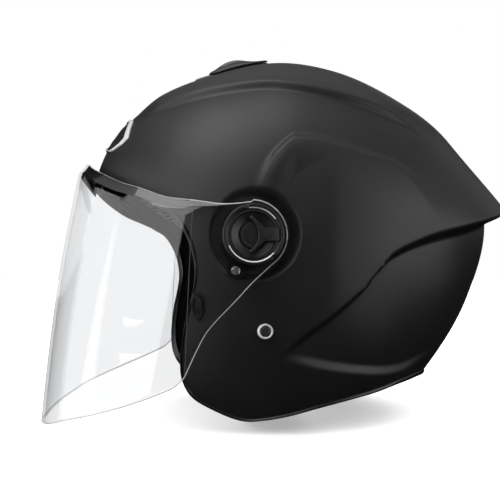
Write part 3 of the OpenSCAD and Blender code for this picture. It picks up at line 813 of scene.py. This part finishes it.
# Band of padding along the brow, between the foam's edge and the crown pad
low = smooth_path(FOAM_EDGE[:6], 8)
high = smooth_path(CROWN_EDGE[:6], 8)
half_rows = np.array([[a * (1 - s) + b * s for s in np.linspace(0.06, 0.9, 18)] for a, b in zip(low, high)])
rows = np.concatenate([half_rows[::-1], half_rows[1:] * [-1, 1, 1]])
dirs = direction(rows)
across = np.linspace(-1, 1, rows.shape[1])[None, :]
lengthwise = np.linspace(-1, 1, rows.shape[0])[:, None]
fat = np.sqrt(np.clip(1 - across**6, 0, 1)) * np.sqrt(np.clip(1 - lengthwise**30, 0, 1))
brow = slab(
    "brow_lining",
    layer_point(dirs, COMFORT_TOP + 2.0 * (1 - fat)),
    layer_point(dirs, COMFORT_TOP + 3.5 + 5.5 * fat),
    mesh_fabric,
    smooth_angle=70,
    uv=np.tile(np.column_stack([
        (np.arctan2(rows[..., 0], -rows[..., 1]) * 110).ravel(), rows[..., 2].ravel()
    ]), (2, 1)),
)
piece(brow, "helmet", "comfort_fabric", "brow_pad")

cheek_dirs = direction(smooth_loop(CHEEK_EDGE, 6))
cheek = pad_layer(
    "cheek_lining_left", cheek_dirs, direction([101, -32, 58]), 14,
    PAD_DEPTH + 2, PAD_DEPTH + CHEEK_THICK - 4, side_fabric,
)
inflate(cheek, 5, 4)
cheek_right = mirror_copy(cheek, "cheek_lining_right")
piece(cheek, "helmet", "cheek_fabric", "cheek_pad_left")
piece(cheek_right, "helmet", "cheek_fabric", "cheek_pad_right")


def roll_point(around, rise, depth):
    """Point inside the neck's edge, from degrees around and above CENTRE, and a depth."""
    a, r = np.radians(around), np.radians(rise)
    return layer_point(np.stack([np.sin(a) * np.cos(r), np.cos(a) * np.cos(r), np.sin(r)], -1), depth)


around, rise = np.meshgrid(np.linspace(44, -44, 60), np.linspace(-35.5, -43, 12), indexing="ij")
end = np.sqrt(np.clip(1 - (np.abs(around) / 44.5) ** 12, 0, 1))
side = np.sqrt(np.clip(1 - (np.abs(rise + 39.2) / 3.9) ** 4, 0, 1))
roll = slab(
    "neck_lining", roll_point(around, rise, 9 + 3 * (1 - side)),
    roll_point(around, rise, 12 + 12 * side * end), soft_fabric, smooth_angle=70,
)
inflate(roll, 5, 3)
piece(roll, "helmet", "comfort_fabric", "neck_roll")


# ---------- visor ----------

# Upper and lower edge of the visor, as [share of its reach, Z]; the share is negative behind the pivots
UPPER = [
    [-0.17, 141], [0, 140], [0.2, 137], [0.42, 137], [0.6, 143.5], [0.74, 149], [0.9, 159], [0.97, 165.5],
    [1, 168.5],
]
LOWER = [
    [-0.1, 105], [0, 94], [0.07, 85], [0.2, 68], [0.26, 54], [0.305, 41], [0.33, 37.5], [0.37, 34],
    [0.54, 25], [0.82, 12], [0.9, 7], [0.97, 2.5], [1, 0],
]
VISOR_POWER = 2.4
EAR_R = 20
REACH_AT_PIVOT = 119
VISOR_THICK = 2
LIP_RISE = 5.5
LIP_INSET = 3.8
CREASE_SHARES = [0.2985, 0.3015]
VISOR_HEIGHT = 172
REACH_TOP = 141.5
HUB_HOLE_R = 12.1
EDGE, PRINT, CREASE_HIGHLIGHT = 1, 2, 3


def visor_reach(z):
    """How far ahead of the pivots the visor's front lies at a height."""
    u = (VISOR_HEIGHT - z) / VISOR_HEIGHT
    return PIVOT[0] + REACH_TOP + 26 * u + 3 * np.sin(math.pi * np.clip(u, 0, 1))


def visor_grid(inset):
    """Columns of the visor from the rear end of the left ear to the front, and on to the right ear."""
    angle = np.linspace(0, 1, 90)
    front = np.cos(angle * math.radians(87.7)) ** (2 / VISOR_POWER)
    front = np.sort(np.concatenate([front, CREASE_SHARES]))[::-1]
    rear = front[-1] - (front[-1] + EAR_R / REACH_AT_PIVOT) * np.sin(np.linspace(0, math.pi / 2, 36)[1:])
    share = np.concatenate([front, rear])
    upper, lower = smooth_path(UPPER, 10), smooth_path(LOWER, 10)
    back = np.maximum(0, -share * REACH_AT_PIVOT)
    arc = np.sqrt(np.clip(EAR_R**2 - back**2, 0, None))
    top = np.where(share < 0, PIVOT[1] + arc, np.interp(share, upper[:, 0], upper[:, 1]))
    low = np.where(share < -0.1, PIVOT[1] - arc, np.interp(share, lower[:, 0], lower[:, 1]))
    part = ease(0.05, 0.4, share)
    rows = []
    for height, turn in ((1, 1), (0.62, 0.7), (0.3, 0.42), (0.1, 0.2), (0, 0.07)):
        rows.append((top + LIP_RISE * part * height, LIP_INSET * part * turn))
    for k in np.linspace(0.02, 1, 44):
        rows.append((top + (low - top) * k, 0 * share))
    z = np.array([r[0] for r in rows]).T
    turn = np.array([r[1] for r in rows]).T + inset
    s = np.clip(share, 0, 1)[:, None]
    x = (VISOR_HALF - turn) * (1 - s**VISOR_POWER) ** (1 / VISOR_POWER)
    ahead = np.where(s > 0, (visor_reach(z) - turn) * s, share[:, None] * REACH_AT_PIVOT)
    left = np.stack([x, PIVOT[0] - ahead, z], -1)
    return np.concatenate([left[::-1], left[1:] * [-1, 1, 1]])


visor = slab(
    "visor_shield", visor_grid(0), visor_grid(VISOR_THICK),
    [visor_clear, visor_edge, lip_print, painted_crease_highlight], smooth_angle=35,
)
upper_side = smooth_path(UPPER, 10)
for f in visor.data.polygons:
    p = np.array(f.center) / MM - SHIFT
    share = (PIVOT[0] - p[1]) / visor_reach(p[2])
    over_bend = p[2] - np.interp(share, upper_side[:, 0], upper_side[:, 1])
    outwards = np.dot(f.normal, p - [0, PIVOT[0] - 40, p[2]]) > 0
    # Outer faces along the crease, below the bend, get the painted crease highlight; inner faces over the
    # bend get the print
    if outwards and CREASE_SHARES[0] < share < CREASE_SHARES[1] and over_bend < 0:
        f.material_index = CREASE_HIGHLIGHT
    if not outwards and over_bend > 0.2 and share > 0.16:
        f.material_index = PRINT
hole = lathe("hub_hole", [[HUB_HOLE_R, -10], [HUB_HOLE_R, 10]], VISOR_HALF - 1, PIVOT, visor_clear)
for side_hole in (hole, mirror_copy(hole, "hub_hole_right")):
    cut(visor, side_hole)
round_edges(visor, 0.4, 60, segments=2, material=EDGE, use_clamp_overlap=False)
finish_mesh(visor, 35)
piece(visor, "visor", "visor_clear", "visor")


# ---------- pivots ----------

def cap_bump(angle, r, h):
    """Two gaps in the raised rim of the cap, and a lower rim between them."""
    gaps = np.exp(-(((angle - 104) / 3.2) ** 4)) + np.exp(-(((angle - 312) / 3.2) ** 4))
    step = ease(104, 108, angle) * ease(316, 312, angle)
    rim = ease(15.2, 15.6, r)
    return r, h - rim * (h > 2.2) * (np.clip(gaps, 0, 1) + 0.35 * step)


CAP_PROFILE = [
    [3.1, 0], [17.1, 0], [17.4, 0.3], [17.4, 2.9], [17.2, 3.4], [16.9, 3.6], [15.9, 3.6], [15.6, 3.5],
    [15.4, 3.2], [15.3, 2.9], [14.8, 2.5], [14.5, 2.45], [14.3, 2.2], [13.9, 2.15], [13.6, 2.3], [13.1, 2.3],
    [12.8, 2.0], [12.6, 1.5], [12.2, 1.2], [8.6, 1.2], [8.3, 0.95], [3.1, 0.95], [3.1, 0],
]
# Arcs of the cap's rim, in degrees round the pivot, that carry a painted highlight
PAINTED_GLINT_ARCS = [[36, 100], [205, 318]]
LEVER_X = CAP_X + 1.5
cap = lathe("pivot_cover_left", CAP_PROFILE, CAP_X, PIVOT, [cap_plastic, silver_trim_and_painted_glint], 180, cap_bump)
# The bright arcs of the rim are painted highlights of the glossy rim, in the bright silver-white paint
for f in cap.data.polygons:
    p = f.center / MM - Vector((CAP_X, PIVOT[0] + SHIFT[1], PIVOT[1]))
    r = math.hypot(p.y, p.z)
    a = math.degrees(math.atan2(p.z, p.y)) % 360
    bright = 14.7 < r < 15.45 and any(first < a < last for first, last in PAINTED_GLINT_ARCS)
    f.material_index = 1 if bright else 0
cap_right = mirror_copy(cap, "pivot_cover_right")
piece(cap, "helmet", "pivot_black", "pivot_cap_left")
piece(cap_right, "helmet", "pivot_black", "pivot_cap_right")

arc = np.radians(np.linspace(-61, 61, 25))
crescent = np.column_stack([-7.9 + 10.5 * np.cos(arc), 10.5 * np.sin(arc)])
outline = np.concatenate([crescent, [[-1.2, 10.6], [6.2, 3.7], [13.6, 3.7], [14.2, 3.1]],
                          [[14.2, -3.1], [13.6, -3.7], [6.2, -3.7], [-1.2, -10.6]]])
disc = lathe("lever_disc", [[4.85, 0], [7.0, 0], [7.3, 0.25], [7.3, 0.6], [4.85, 0.6], [4.85, 0]],
             LEVER_X, PIVOT, lever_plastic, 64)
stem = prism("lever_stem", outline, 0.2, 2.2, LEVER_X, PIVOT, lever_plastic, 0.35)
marks = []
for k, place in enumerate((7.4, 10.2)):
    tip = np.array([[place - 0.9, 1.5], [place + 0.9, 0], [place - 0.9, -1.5], [place - 1.5, -1.1],
                    [place - 0.2, 0], [place - 1.5, 1.1]])
    marks.append(prism(f"lever_mark_{k}", tip, 2.1, 2.45, LEVER_X, PIVOT, lever_plastic, 0.08))
lever = join("lever_cover_left", disc, stem, *marks)
lever_right = mirror_copy(lever, "lever_cover_right")
piece(lever, "lever_left", "lever_black", "release_lever_left")
piece(lever_right, "lever_right", "lever_black", "release_lever_right")

SCREW = PIVOT + [-9, -20]
SCREW_X = 112.8
screw = lathe(
    "screw_left",
    [[1.5, -5], [1.5, 2.05], [2.5, 2.05], [2.65, 2.3], [2.65, 2.9], [2.4, 3.3], [1.6, 3.5], [0.8, 3.55],
     [0, 3.55]],
    SCREW_X, SCREW, bright_steel, 48,
)
slot_outline = [[-3, -0.4], [3, -0.4], [3, 0.4], [-3, 0.4]]
slot_cut = prism("slot_cut", slot_outline, 2.9, 5, SCREW_X, SCREW, bright_steel, 0.02)
cut(screw, slot_cut)
finish_mesh(screw)
piece(pair("screws", screw), "helmet", "bright_steel", "base_screws")

RIVET_X = 108.6
rivet = lathe(
    "rivet_left",
    [[2.5, -10.4], [2.5, 0], [4.5, 0], [4.7, 0.3], [4.6, 1.4], [4.3, 2.1], [3.9, 2.4], [3.5, 2.3], [3.3, 2.0],
     [3.3, 1.4], [0, 1.4]],
    RIVET_X, RIVET, silver_trim_and_painted_glint, 72,
)
piece(pair("rivets", rivet), "helmet", "bright_steel", "strap_rivets")
plug_profile = [[3.2, 1.45], [3.2, 1.9], [2.9, 2.15], [1.5, 2.25], [0, 2.25]]
plug = lathe("plug_left", plug_profile, RIVET_X, RIVET, rubber_dark, 64)
piece(pair("rivet_plugs", plug), "helmet", "cap_dark", "rivet_caps")


# ---------- vent ----------

VENT_FRONT, SCOOP_FRONT, SCOOP_PEAK, VENT_REAR = -66, -52, -36, -14
VENT_HALF, STRIP_HALF, SCOOP_HALF = 36, 34, 35
RIB_PITCH = 3.2
AIM_Z = 236.0


def vent_point(x, y, height):
    """Point over the top of the shell, above the given X and Y."""
    d = direction(np.stack([x, y, np.full_like(x, AIM_Z)], -1))
    return outside_point(d, height)


def vent_sheet(name, half, front, rear, low, high, material, rows=40, cols=60):
    """Sheet over the shell's top; low and high are heights, or functions of x and y."""
    u, v = np.meshgrid(np.linspace(-1, 1, cols), np.linspace(0, 1, rows))
    x, y = u * half, front + (rear - front) * v
    edge = np.clip(1 - np.abs(u) ** 18.0, 0, 1) * np.clip(1 - np.abs(2 * v - 1) ** 18.0, 0, 1)
    top = high(x, y) if callable(high) else high
    bottom = low(x, y) if callable(low) else low
    top = bottom + (top - bottom) * (0.35 + 0.65 * np.sqrt(edge))
    under = bottom * np.ones_like(x)
    return slab(name, vent_point(x, y, top), vent_point(x, y, under), material, smooth_angle=45)


def scoop_roof(x, y):
    """Height over the shell: a low mouth in front, a peak, and a fall behind it."""
    rise = np.where(y < SCOOP_PEAK, 1.6 + 4.2 * ease(SCOOP_FRONT, SCOOP_PEAK, y), 5.8 * ease(-18, -34, y))
    return 3 + (1 - np.clip(np.abs(x) / SCOOP_HALF, 0, 1) ** 4) * rise


def scoop_under(x, y):
    return np.maximum(1.4, scoop_roof(x, y) - 1.5)


base = vent_sheet("vent_plate", VENT_HALF, VENT_FRONT, VENT_REAR, 0.2, 1.2, vent_plastic)
piece(base, "helmet", "vent_black", "vent_base")
trim = vent_sheet(
    "vent_strip", STRIP_HALF, VENT_FRONT + 1, SCOOP_FRONT - 1.5, 1.25,
    lambda x, y: 1.75 + 0.45 * np.abs(np.sin(math.pi * x / RIB_PITCH)) ** 0.6, vent_silver, 24, 220,
)
piece(trim, "helmet", "vent_silver", "vent_trim")
scoop = vent_sheet(
    "vent_cowl", SCOOP_HALF, SCOOP_FRONT, VENT_REAR, scoop_under, scoop_roof,
    [vent_plastic, window_grey], 50, 90,
)
for f in scoop.data.polygons:
    p = f.center / MM
    inside = 25.5 < abs(p.x) < 33 and -45 < p.y - SHIFT[1] < -27
    f.material_index = 1 if inside and f.normal.z > 0 else 0
piece(scoop, "helmet", "vent_black", "vent_scoop")
slider = vent_sheet("vent_gate", 7, -50, -42, 1.5, 2.7, vent_plastic, 16, 30)
piece(slider, "vent_slider", "vent_black", "vent_slider")


# ---------- badge ----------

BADGE_RISE = 26
FIELD_HEIGHT, BADGE_FOOT = 0.75, 0.25

# Outline as [degrees round from the front, degrees above CENTRE], and the ring [share, height] pairs
shield = smooth_loop([
    [0, 33.2], [13, 32.2], [24, 30], [28.5, 27.8], [33.5, 21.5], [33, 19.6], [30, 18.2], [25, 17.6],
    [19, 19], [13, 20.8], [0, 21.5], [-13, 20.8], [-19, 19], [-25, 17.6], [-30, 18.2], [-33, 19.6],
    [-33.5, 21.5], [-28.5, 27.8], [-24, 30], [-13, 32.2],
], 6)
heights = [[0.02, 0.75], [0.3, 0.75], [0.62, 0.75], [0.89, 0.8], [0.91, 1.1], [0.925, 1.45], [0.94, 1.6],
           [0.97, 1.6], [0.99, 1.4], [1.0, 0.9]]


def badge_rings(flat=None):
    """Rings from the middle out, at their own heights or all at one flat height."""
    rings = []
    for share, height in heights:
        a, r = np.radians([0, BADGE_RISE] + (shield - [0, BADGE_RISE]) * share).T
        d = np.stack([np.sin(a) * np.cos(r), -np.cos(a) * np.cos(r), np.sin(r)], -1)
        rings.append(outside_point(d, height if flat is None else flat))
    return np.array(rings)


front_d = np.array([0, -math.cos(math.radians(BADGE_RISE)), math.sin(math.radians(BADGE_RISE))])
badge = dome(
    "forehead_badge",
    [outside_point(front_d, FIELD_HEIGHT), outside_point(front_d, BADGE_FOOT)],
    badge_rings(), badge_rings(BADGE_FOOT), [badge_field, badge_rim],
)
from_middle = shield - [0, BADGE_RISE]
outline_turn = np.arctan2(from_middle[:, 1], from_middle[:, 0])
order = np.argsort(outline_turn)
outline_size = np.hypot(from_middle[:, 0], from_middle[:, 1])[order]
for f in badge.data.polygons:
    d = direction(np.array(f.center) / MM - SHIFT)
    place = np.degrees([math.atan2(d[0], -d[1]), math.asin(d[2])]) - [0, BADGE_RISE]
    size = np.interp(math.atan2(place[1], place[0]), outline_turn[order], outline_size, period=2 * math.pi)
    f.material_index = 1 if np.hypot(place[0], place[1]) > 0.915 * size else 0
piece(badge, "helmet", "badge_grey", "front_badge")


# ---------- visor bumpers ----------

BUMPER_FOOT = -0.6
bumper_d = direction([100, -65, 82])
centre_p = layer_point(bumper_d, -1)
up = unit(np.array([0, 0.0, 1]) - bumper_d * bumper_d[2])
sideways = unit(np.cross(up, bumper_d))
turn = np.linspace(0, 2 * math.pi, 6, endpoint=False) + math.pi / 6
hexagon = np.column_stack([3.4 * np.cos(turn), 9.5 * np.sin(turn)])


def bumper_ring(size, height):
    loop = []
    for k in range(6):
        a, b = hexagon[k] * size, hexagon[(k + 1) % 6] * size
        loop += [a + (b - a) * s for s in np.linspace(0, 1, 5)[:-1]]
    loop = np.array(loop)
    return centre_p + loop[:, :1] * sideways + loop[:, 1:] * up + bumper_d * height


levels = [[0.55, 1.0], [0.6, 1.5], [0.85, 1.55], [0.93, 1.5], [1, 1.1]]
bumper = dome(
    "bumper_left", [centre_p + bumper_d, centre_p + bumper_d * BUMPER_FOOT],
    np.array([bumper_ring(s, h) for s, h in levels]),
    np.array([bumper_ring(s, BUMPER_FOOT) for s, h in levels]),
    rubber_dark, smooth_angle=30,
)
piece(pair("bumpers", bumper), "helmet", "cap_dark", "visor_bumpers")


# ---------- chin strap and the remaining CAD pieces ----------

STRAP_PATH = [
    [98.7, 73], [98.7, 66], [98.4, 60], [95.5, 50], [90.5, 40], [83.5, 30], [75, 22], [68, 17.5], [62, 16],
]
STRAP_LOW = 16
STRAP_HALF = 10
BUCKLE_FROM, BUCKLE_TO = 24, 60


def strap(name, end, sign):
    """Webbing with rounded edges along [X, Z] points, from the rivet to its end."""
    path = np.concatenate([smooth_path(STRAP_PATH, 6), [[x, STRAP_LOW] for x in end]])
    ahead = unit(np.gradient(path, axis=0))
    out = np.column_stack([ahead[:, 1], -ahead[:, 0]])
    cos, sin = squared_circle(28, 0.35, 0.5)
    wide = STRAP_HALF * cos
    thick = 0.8 * sin
    run = np.concatenate([[0], np.cumsum(np.linalg.norm(np.diff(path, axis=0), axis=1))])
    flat = path[:, None] + out[:, None] * thick[None, :, None]
    shape = flat.shape[:2]
    sections = np.stack([sign * flat[..., 0], np.broadcast_to(RIVET[0] + wide, shape), flat[..., 1]], -1)
    uv = np.stack([np.broadcast_to(wide, shape), np.broadcast_to(run[:, None], shape)], -1)
    return sweep(name, sections, webbing, False, smooth_angle=70, uv=uv.reshape(-1, 2))


strap_left = strap("strap_left", [BUCKLE_TO + 0.1], 1)
strap_right = strap("strap_right", list(np.linspace(56, -BUCKLE_FROM + 8, 16)), -1)
piece(strap_left, "strap", "webbing", "chin_strap_left")
piece(strap_right, "strap", "webbing", "chin_strap_right")

pad_x = np.linspace(-45, 9, 40)
cos, sin = squared_circle(32, 0.5, 0.6)
ends = np.sqrt(np.clip(1 - (np.abs(pad_x + 18) / 27.3) ** 10, 0.02, 1))
sections = np.stack([
    np.stack([np.full(32, x), RIVET[0] + 12.6 * e * cos, STRAP_LOW + 0.9 + 2.5 + 2.0 * e * sin], -1)
    for x, e in zip(pad_x, ends)
])
chin = sweep("chin_cushion", sections, soft_fabric, False, smooth_angle=70)
inflate(chin, 2.5, 1.2)
piece(chin, "strap", "chin_fabric", "chin_pad")

for node, name, width, material, body, slot in (
    ("buckle_body", "buckle_case", 1.1, buckle_plastic, "strap", "buckle_black"),
    ("buckle_tongue", "buckle_blade", 0.2, steel, "strap", "steel"),
    ("buckle_lever", "buckle_latch", 0.5, red_plastic, "buckle_lever", "lever_red"),
):
    piece(rounded_copy(node, name, width, material), body, slot, node)

for node, material in (
    ("pad_snaps", white_nylon), ("ratchet_rings", white_nylon), ("pivot_base_left", cap_plastic),
    ("pivot_base_right", cap_plastic), ("pivot_bolts", cap_plastic), ("pivot_nuts", steel),
    ("detent_springs", steel), ("detent_plungers", white_nylon), ("strap_anchors", steel),
    ("buckle_pin", bright_steel),
):
    paint_all(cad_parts[node].data, material)


# ---------- floor, light and camera ----------

# The floor is shaded where it is seen directly, and plain white where it is seen through the visor
FLOOR_SIZE = 30.0
bpy.ops.mesh.primitive_plane_add(size=FLOOR_SIZE, location=(0, 0, 0))
floor = bpy.context.object
floor.name = "floor"
floor_white = new_material("floor_white", (0.8, 0.8, 0.8), 0.9, Specular_IOR_Level=0.0,
                           Emission_Color=(1, 1, 1, 1), Emission_Strength=0.4)
n = Nodes(floor_white)
depth = n.add("ShaderNodeLightPath").outputs["Transparent Depth"]
n.mix_shaders(n.span(depth, 0, 1, 0, 1), n.shader, n.add("ShaderNodeEmission"))
floor.data.materials.append(floor_white)
set_all(floor, visible_glossy=False, visible_diffuse=False)

# The world is white where the camera sees it; only the lamps light the object
world = bpy.data.worlds.new("studio")
world.use_nodes = True
set_sockets(world.node_tree.nodes["Background"], Color=(1, 1, 1, 1), Strength=1.0)
set_all(world.cycles_visibility, diffuse=False, glossy=False, transmission=False)
scene.world = world
scene.view_settings.view_transform = "Standard"

# The lamps on the object leave the floor out, and the floor has a sky of its own
floor_only = bpy.data.collections.new("floor_only")
floor_only.objects.link(floor)
all_but_floor = bpy.data.collections.new("all_but_floor")
all_but_floor.objects.link(floor)
all_but_floor.collection_objects[0].light_linking.link_state = "EXCLUDE"


def softbox(name, azimuth, elevation, distance, width, height, power, target=(0, -0.02, 0.13), roll=0):
    """Soft lamp that faces the target; azimuth 0 is the wearer's left and 90 is ahead of the helmet."""
    az, el, turn = math.radians(azimuth), math.radians(elevation), math.radians(roll)
    out = Vector((math.cos(az) * math.cos(el), -math.sin(az) * math.cos(el), math.sin(el)))
    right = out.cross(Vector((0, 0, 1))).normalized()
    up = right.cross(out)
    long = up * math.cos(turn) - right * math.sin(turn)
    light = bpy.data.lights.new(name, "AREA")
    set_all(light, shape="RECTANGLE", size=width, size_y=height, energy=power)
    obj = new_object(name, light)
    obj.light_linking.receiver_collection = all_but_floor
    axes = Matrix((long.cross(out), long, out)).transposed()
    obj.matrix_world = Matrix.Translation(Vector(target) + out * distance) @ axes.to_4x4()


def wide_sky(name, strength, angle, receivers):
    """Even light from above, over a cone of directions."""
    light = bpy.data.lights.new(name, "SUN")
    set_all(light, energy=strength, angle=math.radians(angle))
    obj = new_object(name, light)
    obj.location = (0, 0, 3)
    obj.light_linking.receiver_collection = receivers


softbox("top", 35, 58, 1.35, 1.0, 1.0, 10)
softbox("visor_strip", 58, 4, 1.25, 1.22, 2.2, 15, target=(0.11, -0.1, 0.12), roll=38)
softbox("side_rear", -50, 2, 1.6, 1.1, 1.0, 10)
softbox("front_fill", 98, 0, 1.5, 1.0, 1.0, 6)
softbox("far_side", -165, 12, 1.6, 1.2, 1.0, 5)
softbox("rear", -100, 20, 1.6, 1.4, 1.0, 2)
wide_sky("sky", 0.8, 100, all_but_floor)
wide_sky("floor_sky", 6.6, 130, floor_only)

CAMERA_TURN = math.radians(8.31)
CAMERA_Y = -94
camera_data = bpy.data.cameras.new("camera")
set_all(camera_data, sensor_width=36, lens=49.32, shift_y=0.052, clip_start=0.01, clip_end=60)
camera = new_object("camera", camera_data)
camera.location = (0.5, (CAMERA_Y + SHIFT[1]) * MM, 0.098)
aim = Vector((-math.cos(CAMERA_TURN), math.sin(CAMERA_TURN), 0))
camera.rotation_euler = aim.to_track_quat("-Z", "Y").to_euler()
scene.camera = camera
